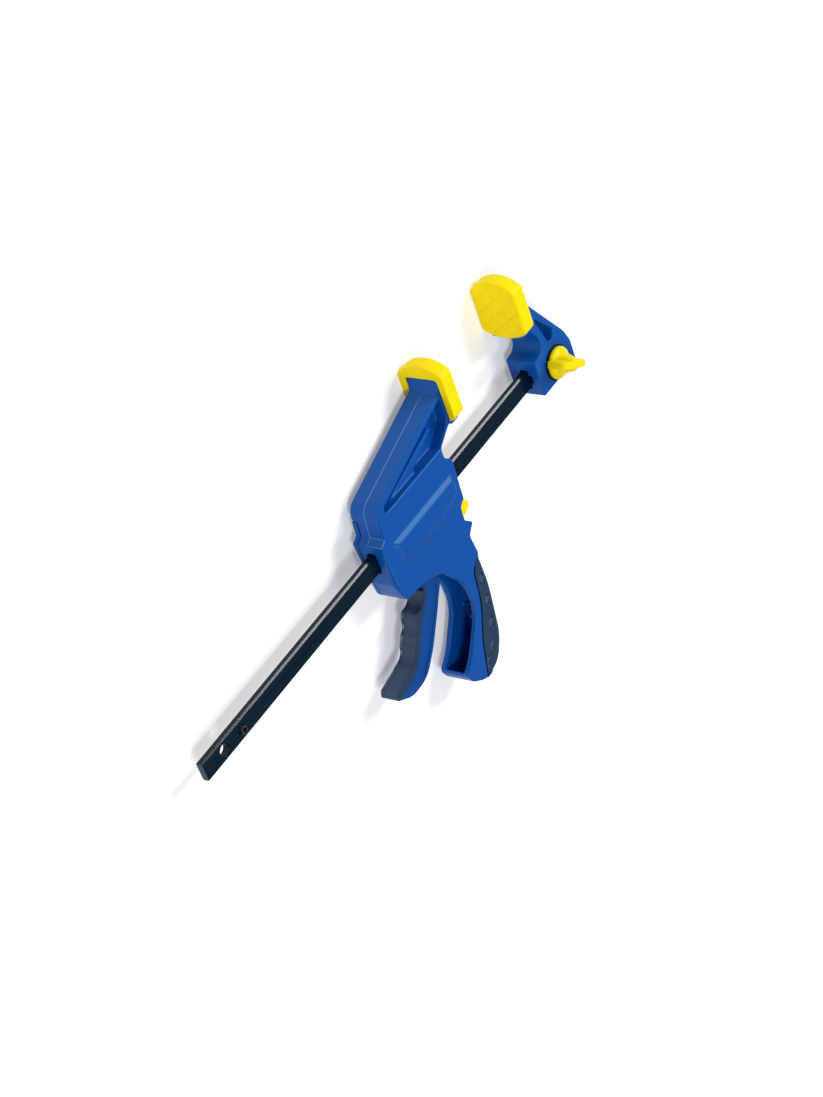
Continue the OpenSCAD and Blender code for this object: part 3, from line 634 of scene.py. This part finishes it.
class CLAMP_OT_casing(bpy.types.Operator):
    """Casing with rounded rims, its cover and the parting line along the arm"""

    bl_idname = "clamp.casing"
    bl_label = "Casing"

    # zones, in millimetres from the casing's front, the bar's centre line and the mid-plane
    PLATE_X = 86.5  # where the moving pad's plate begins
    FRONT_X = 7  # how far back the front's corners reach
    ARM_Y = 16  # foot of the arm
    HANDLE_Y = -45  # top of the handle
    SEAM_Z = -7  # where the cover meets the casing
    CREST_Z = 11.0  # where the ridge's top begins
    FADE_Y = -9.0  # middle of the ridge's lower foot

    def execute(self, context):
        shell = copy_of("body_shell", "casing", MERGE / 10)
        grow_soft(shell, sizes().casing_voxel, sizes().casing_passes, self.off_seam)
        smooth(shell, sizes().rim_passes, self.on_rim)
        smooth(shell, sizes().ridge_passes, self.on_crest)
        smooth(shell, sizes().fade_passes, self.on_fade)
        self.parting_line(shell)
        self.shelf_line()
        thin(shell)
        finish(shell, "casing", material("blue_plastic"), ["body_shell"], 60)
        cover = copy_of("side_cover", "cover")
        round_edges(cover, lambda edge: is_rim(edge, HALF_W), 0.5 * MM, 2)
        finish(cover, "casing", material("blue_plastic"), ["side_cover"])
        return {"FINISHED"}

    def off_seam(self, place):
        """The edge over the cover and the shelf over the bar stay crisp."""
        x, y, z = on_body(place)
        if x < self.FRONT_X and 11 < y < 18:
            return 0.3
        return 0.2 if abs(z - self.SEAM_Z) < 1.2 and -36 < y < 27 else 1.0

    def on_rim(self, place):
        """The rims of the arm and the handle are rounder than the rest, save the pad's plate."""
        x, y, z = on_body(place)
        if x > self.PLATE_X:
            return 0.0
        share = clamped((abs(z) - 4.5) / 2)
        if y > self.ARM_Y:
            return share
        if y < self.HANDLE_Y:
            return 0.45 * share
        if x < self.FRONT_X:
            return 0.5 if z > 6 and y < 10 else 0.0
        return 0.1 if z > 0 else 0.0

    def on_crest(self, place):
        """The ridge rolls over its top, and its upper foot stays crisp."""
        x, y, z = on_body(place)
        return clamped((z - self.CREST_Z) / 0.6) if x > 5 else 0.0

    def on_fade(self, place):
        """The ridge fades out below."""
        x, y, z = on_body(place)
        if z < 10.1 or x < 8:
            return 0.0
        return clamped(1.0 - (abs(y - self.FADE_Y) - 4.0) / 3)

    def shelf_line(self):
        """A thin raised outline round the ribbed side's half of the shelf, paler as a painted
        highlight on its edge.
        """
        bpy.ops.object.select_all(action="DESELECT")
        bpy.ops.mesh.primitive_plane_add(size=1)
        line = bpy.context.object
        line.name = line.data.name = "shelf_line"
        ends = [(x, y, z) for x, y in SHELF for z in (0, HALF_W / MM - 0.3)]
        for vert, (x, y, z) in zip(line.data.vertices, ends):
            vert.co = (BODY_X + x * MM, y * MM, z * MM)
        bpy.ops.object.mode_set(mode="EDIT")
        bpy.ops.mesh.select_all(action="SELECT")
        bpy.ops.mesh.delete(type="ONLY_FACE")
        bpy.ops.object.mode_set(mode="OBJECT")
        line = as_line(line, sizes().parting_r)
        finish(line, "casing", material("blue_edge_highlight"), (), 60)

    def parting_line(self, shell):
        """A thin raised line where the halves of the mould met, from the shelf to the pad; its
        paler colour is a painted highlight.
        """
        line = twin(shell, "parting_line")
        only(line)
        bpy.ops.object.mode_set(mode="EDIT")
        bpy.ops.mesh.select_mode(type="VERT")
        bpy.ops.mesh.select_all(action="SELECT")
        bpy.ops.mesh.bisect(
            plane_co=(0, 0, 0), plane_no=(0, 0, 1), clear_inner=True, clear_outer=True
        )
        bpy.ops.object.mode_set(mode="OBJECT")
        pick(line, "VERT", self.off_front)
        bpy.ops.mesh.delete(type="VERT")
        bpy.ops.object.mode_set(mode="OBJECT")
        line = as_line(line, sizes().parting_r)
        finish(line, "casing", material("blue_edge_highlight"), (), 60)

    def off_front(self, vert):
        """Points of the mid-plane's outline that don't lie along the arm's front."""
        x, y, z = on_body(vert.co)
        return not (y > 13.6 and x < 84 and not (x > 12 and y < 20 + x * 0.4))


class CLAMP_OT_handle_grip(bpy.types.Operator):
    """Rubber of the handle, with its dimples"""

    bl_idname = "clamp.handle_grip"
    bl_label = "Handle rubber"

    SEAM_TOP = -0.053  # the seam line stops short of the rubber's upper corner

    def execute(self, context):
        grip = copy_of("handle_grip", "handle_rubber")
        round_edges(grip, self.outer_rim, 2.2 * MM, 3)
        self.seam_line(grip)
        grow_soft(grip, sizes().fine_voxel, sizes().rubber_passes)
        for dimple in DIMPLES:
            self.dent(grip, *dimple)
        thin(grip)
        finish(grip, "casing", material("grip_rubber"), ["handle_grip"], 60)
        return {"FINISHED"}

    def seam_line(self, grip):
        """A line where the rubber ends on each side of the handle; the joint is real, its
        near-black colour is painted shade.
        """
        line = twin(grip, "grip_seam_shade")
        pick(line, "EDGE", self.seam_rim)
        bpy.ops.mesh.select_all(action="INVERT")
        bpy.ops.mesh.delete(type="EDGE_FACE")
        shape = bmesh.from_edit_mesh(line.data)
        for vert in shape.verts:
            if len(vert.link_edges) == 1:
                back = vert.link_edges[0].other_vert(vert).co - vert.co
                vert.co += back.normalized() * 3 * sizes().seam
        bmesh.update_edit_mesh(line.data)
        bpy.ops.object.mode_set(mode="OBJECT")
        line = as_line(line, sizes().seam)
        finish(line, "casing", material("painted_seam_shade"), (), 60)

    def outer_rim(self, edge):
        """Rims on the hand's side, not those where the rubber meets the plastic."""
        return is_rim(edge, HALF_W) and wall_of(edge).normal.x > 0.1

    def seam_rim(self, edge):
        """Rims where the rubber meets the plastic, below its upper corner."""
        if any(vert.co.y > self.SEAM_TOP for vert in edge.verts):
            return False
        return is_rim(edge, HALF_W) and wall_of(edge).normal.x < -0.1

    def dent(self, grip, x, y, lean):
        """An oval dimple on the ribbed side."""
        turn = Matrix.Rotation(math.radians(lean), 2)
        for vert in grip.data.vertices:
            if vert.co.z < HALF_W - 2 * MM:
                continue
            off = turn.inverted() @ Vector((vert.co.x - BODY_X - x * MM, vert.co.y - y * MM))
            far = math.hypot(off.x / sizes().dimple_wide, off.y / sizes().dimple_long)
            if far < 1:
                vert.co.z -= sizes().dimple_depth * min(1.0, 1.8 * (1 - far * far))


class CLAMP_OT_pads(bpy.types.Operator):
    """The two soft pads, with round edges and grooved faces"""

    bl_idname = "clamp.pads"
    bl_label = "Pads"

    # outline of the face's flat middle: half its width, then the height and radius of the arcs
    # that round its lower and its upper end
    FLAT_W = 0.014
    LOWER_ARC = (0.053, 0.0204)
    UPPER_ARC = (0.0657, 0.0286)

    def execute(self, context):
        for node, body in (("moving_jaw_pad", "casing"), ("fixed_jaw_pad", "bar_assembly")):
            pad = copy_of(node, node.replace("jaw_pad", "pad"))
            grow_soft(pad, sizes().fine_voxel, 2)
            smooth(pad, sizes().pad_passes, self.off_face(PAD_FACES[node]))
            thin(pad)
            finish(pad, body, material("yellow_rubber"), [node], 60)
        return {"FINISHED"}

    def off_face(self, face_x):
        """Everything but the grooved middle of the face."""

        def share(place):
            if abs(place.x - face_x) > 1.5 * MM:
                return 1.0
            arcs = (self.LOWER_ARC, self.UPPER_ARC)
            past = [math.hypot(place.y - y, place.z) - radius for y, radius in arcs]
            return clamped(max(abs(place.z) - self.FLAT_W, *past) / (0.8 * MM))

        return share


class CLAMP_OT_bar(bpy.types.Operator):
    """The painted bar"""

    bl_idname = "clamp.bar"
    bl_label = "Bar"

    def execute(self, context):
        bar = copy_of("bar", "painted_bar", MERGE / 10)
        round_edges(bar, self.at_end, sizes().bar_round, 1)
        finish(bar, "bar_assembly", material("bar_paint"), ["bar"], 30)
        return {"FINISHED"}

    def at_end(self, edge):
        """Edges round the bar's two cut ends."""
        flat = [abs(face.normal.x) > 0.99 for face in edge.link_faces]
        return len(flat) == 2 and flat[0] != flat[1]


class CLAMP_OT_fixed_jaw(bpy.types.Operator):
    """The fixed jaw's moulding"""

    bl_idname = "clamp.fixed_jaw"
    bl_label = "Fixed jaw"

    def execute(self, context):
        jaw = copy_of("fixed_jaw", "jaw_moulding", MERGE / 10)
        grow_soft(jaw, sizes().fine_voxel, sizes().casing_passes)
        smooth(jaw, sizes().rim_passes, self.on_rim)
        thin(jaw, 0.2)
        finish(jaw, "bar_assembly", material("blue_plastic"), ["fixed_jaw"], 60)
        return {"FINISHED"}

    def on_rim(self, place):
        """The rims over the bar are rounder, and the pad's plate isn't."""
        if place.y < 12 * MM or place.x < JAW_X - 15 * MM:
            return 0.0
        return clamped((abs(place.z) / MM - 4.5) / 2)


class CLAMP_OT_knob(bpy.types.Operator):
    """The wing knob"""

    bl_idname = "clamp.knob"
    bl_label = "Wing knob"

    def execute(self, context):
        knob = copy_of("jaw_knob", "wing_knob", MERGE / 10)
        grow_soft(knob, sizes().fine_voxel, sizes().knob_passes)
        thin(knob)
        finish(knob, "wing_knob", material("yellow_plastic"), ["jaw_knob"], 60)
        return {"FINISHED"}


class CLAMP_OT_trigger(bpy.types.Operator):
    """The trigger and its scooped rubber"""

    bl_idname = "clamp.trigger"
    bl_label = "Trigger"

    FRONT = Vector((-0.6, 0.8, 0.0))  # the way the trigger's finger side faces

    def execute(self, context):
        lever = copy_of("trigger", "trigger_lever", MERGE / 10)
        grow_soft(lever, sizes().fine_voxel, sizes().casing_passes)
        thin(lever)
        # darker blue of the trigger: painted shade
        finish(lever, "trigger_lever", material("shaded_blue_trigger"), ["trigger"], 60)
        grip = copy_of("trigger_grip", "trigger_rubber")
        self.scoop(grip)
        grow_soft(grip, sizes().fine_voxel, sizes().rubber_passes)
        smooth(grip, sizes().scoop_passes, self.between_rims)
        thin(grip)
        finish(grip, "trigger_lever", material("grip_rubber"), ["trigger_grip"], 60)
        return {"FINISHED"}

    def between_rims(self, place):
        """The scoop is hollow all the way across, and its rims stay."""
        return clamped(4.9 - abs(place.z) / MM)

    def scoop(self, grip):
        """Sinks the finger side between two thin rims."""
        pick(grip, "FACE", self.on_finger_side)
        bpy.ops.mesh.inset(
            thickness=sizes().scoop_rim, depth=-sizes().scoop_depth, use_boundary=True
        )
        bpy.ops.object.mode_set(mode="OBJECT")

    def on_finger_side(self, face):
        """Faces that run all the way across the side where the fingers lie."""
        heights = [vert.co.z for vert in face.verts]
        across = max(heights) - min(heights) > 11.9 * MM
        return across and face.normal.dot(self.FRONT) > 0.1


class CLAMP_OT_button(bpy.types.Operator):
    """The release button"""

    bl_idname = "clamp.button"
    bl_label = "Release button"

    def execute(self, context):
        button = copy_of("release_button", "button", MERGE / 10)
        grow_soft(button, sizes().fine_voxel, sizes().knob_passes)
        thin(button)
        yellow = material("yellow_plastic")
        finish(button, "brake", yellow, ["release_button"], 60)
        return {"FINISHED"}


class CLAMP_OT_metalwork(bpy.types.Operator):
    """Finishes of the plates, springs, pins and screws"""

    bl_idname = "clamp.metalwork"
    bl_label = "Metalwork"

    def execute(self, context):
        finishes = {
            "zinc_plate": ["cover_screws", "jaw_nut", "jaw_screw", "trigger_pin"],
            "ground_plate": ["front_drive_plate", "rear_drive_plate", "brake_plate"],
            "spring_wire": ["drive_spring", "brake_spring"],
            "bar_paint": ["jaw_washer"],
            "dark_steel": ["stop_pin"],
        }
        for name, nodes in finishes.items():
            for node in nodes:
                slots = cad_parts[node].data.materials
                slots.clear()
                slots.append(material(name))
        return {"FINISHED"}


STEPS = (
    CLAMP_OT_stage,
    CLAMP_OT_casing,
    CLAMP_OT_handle_grip,
    CLAMP_OT_pads,
    CLAMP_OT_bar,
    CLAMP_OT_fixed_jaw,
    CLAMP_OT_knob,
    CLAMP_OT_trigger,
    CLAMP_OT_button,
    CLAMP_OT_metalwork,
)


class CLAMP_PT_panel(bpy.types.Panel):
    """Lists the clamp's steps in the sidebar"""

    bl_idname = "CLAMP_PT_panel"
    bl_label = "Bar clamp"
    bl_space_type = "VIEW_3D"
    bl_region_type = "UI"
    bl_category = "Bar clamp"

    def draw(self, context):
        for step in STEPS:
            self.layout.operator(step.bl_idname)
        for group in (context.scene.clamp_sizes, context.scene.clamp_colours):
            for key in group.__annotations__:
                self.layout.prop(group, key)


CLASSES = (ClampSizes, ClampColours, *STEPS, CLAMP_PT_panel)


def register():
    for cls in CLASSES:
        bpy.utils.register_class(cls)
    bpy.types.Scene.clamp_sizes = bpy.props.PointerProperty(type=ClampSizes)
    bpy.types.Scene.clamp_colours = bpy.props.PointerProperty(type=ClampColours)


def unregister():
    del bpy.types.Scene.clamp_colours
    del bpy.types.Scene.clamp_sizes
    for cls in reversed(CLASSES):
        bpy.utils.unregister_class(cls)


def main():
    register()
    for step in STEPS:
        group, name = step.bl_idname.split(".")
        getattr(getattr(bpy.ops, group), name)()


if __name__ == "__main__":
    main()
